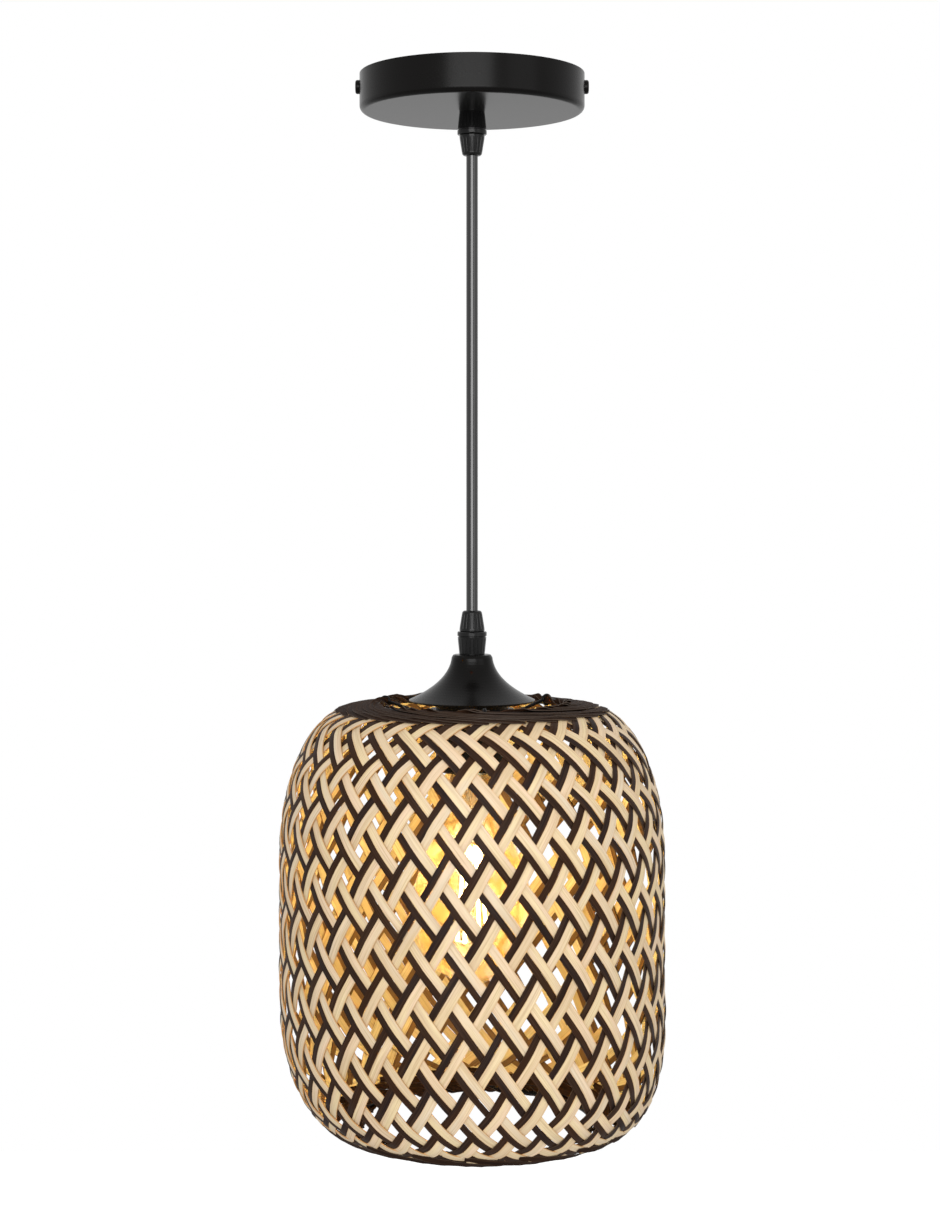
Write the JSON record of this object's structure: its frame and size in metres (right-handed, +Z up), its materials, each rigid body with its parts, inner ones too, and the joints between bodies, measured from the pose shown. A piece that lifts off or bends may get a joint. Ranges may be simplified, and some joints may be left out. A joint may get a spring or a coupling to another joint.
{
  "type": "woven pendant lamp",
  "caption": "Pendant lamp with a round ceiling canopy, a cord, a bell-shaped socket cover and a lantern-shaped shade woven from natural and black bamboo strips, with a lit filament bulb.",
  "frame": {"origin": "centre of the canopy's rim, in the plane of the ceiling, midway between the two ceiling slots", "axes": "+Z up, along the cord; +X through the canopy's two side screws; -Y faces the room"},
  "size_m": [0.2057, 0.2058, 0.5613],
  "materials": {
    "zinc_steel": "zinc plated",
    "black_metal": "satin black powder coat",
    "black_screw": "black oxide",
    "brass": "bright",
    "block_plastic": "natural nylon",
    "brown_insulation": "smooth PVC",
    "earth_insulation": "smooth PVC, green and yellow",
    "grip_plastic": "satin moulded nylon",
    "cord_sheath": "glossy PVC sheath",
    "holder_plastic": "satin moulded thermoset",
    "ceramic": "glazed ceramic",
    "natural_bamboo": "split bamboo, unfinished",
    "black_bamboo": "dyed black, thin lacquer",
    "black_glass": "black glass",
    "nickel_shell": "nickel plated",
    "amber_glass": "clear amber glass",
    "clear_glass": "clear",
    "filament": "lit phosphor"
  },
  "bodies": {
    "ceiling_side": {"mounting_bracket": "zinc_steel", "side_screws": "black_screw", "earth_screw": "brass", "canopy": "black_metal", "terminal_block": "block_plastic", "terminal_clamps": "brass", "canopy_leads": "brown_insulation", "earth_lead": "earth_insulation", "lock_washer": "zinc_steel", "lock_nut": "zinc_steel", "upper_grip_body": "grip_plastic", "upper_grip_chuck": "grip_plastic", "upper_grip_cap": "grip_plastic", "cord_tail": "cord_sheath"},
    "cord_bend": {"cord_top": "cord_sheath"},
    "cord": {"pendant_cord": "cord_sheath"},
    "lamp": {"cord_foot": "cord_sheath", "lower_grip_cap": "grip_plastic", "lower_grip_chuck": "grip_plastic", "lower_grip_body": "grip_plastic", "bell": "black_metal", "lampholder_cap": "holder_plastic", "lampholder_body": "holder_plastic", "lampholder_core": "ceramic", "socket_shell": "brass", "centre_contact": "brass", "holder_leads": "brown_insulation", "ring_nut": "holder_plastic", "shade_fitter": "black_metal", "top_hoop": "black_metal", "top_border_outer": "black_bamboo", "top_border_inner": "black_bamboo", "right_natural_strips": "natural_bamboo", "right_black_strips": "black_bamboo", "left_natural_strips": "natural_bamboo", "left_black_strips": "black_bamboo", "bottom_hoop": "black_metal", "bottom_border_outer": "black_bamboo", "bottom_border_inner": "black_bamboo"},
    "bulb": {"bulb_contact": "nickel_shell", "bulb_insulator": "black_glass", "bulb_screw_shell": "nickel_shell", "bulb_glass": "amber_glass", "bulb_stem": "clear_glass", "bulb_filament_wires": "nickel_shell", "bulb_filaments": "filament"}
  },
  "joints": [
    {"name": "swing_side", "type": "hinge", "parent": "ceiling_side", "child": "cord_bend", "pos_m": [0, 0, -0.0475], "axis": [0, 1, 0], "range_deg": [-40, 40], "deforming": ["cord_top"]},
    {"name": "swing_front", "type": "hinge", "parent": "cord_bend", "child": "cord", "pos_m": [0, 0, -0.0535], "axis": [1, 0, 0], "range_deg": [-40, 40], "deforming": ["cord_top"]},
    {"name": "lamp_twist", "type": "hinge", "parent": "cord", "child": "lamp", "pos_m": [0, 0, -0.2859], "axis": [0, 0, 1], "range_deg": [-90, 90], "stiffness_Nm_per_rad": 0.006},
    {"name": "bulb_removal", "type": "slide", "parent": "lamp", "child": "bulb", "axis": [0, 0, -1], "range_m": [0, 0.03]}
  ]
}
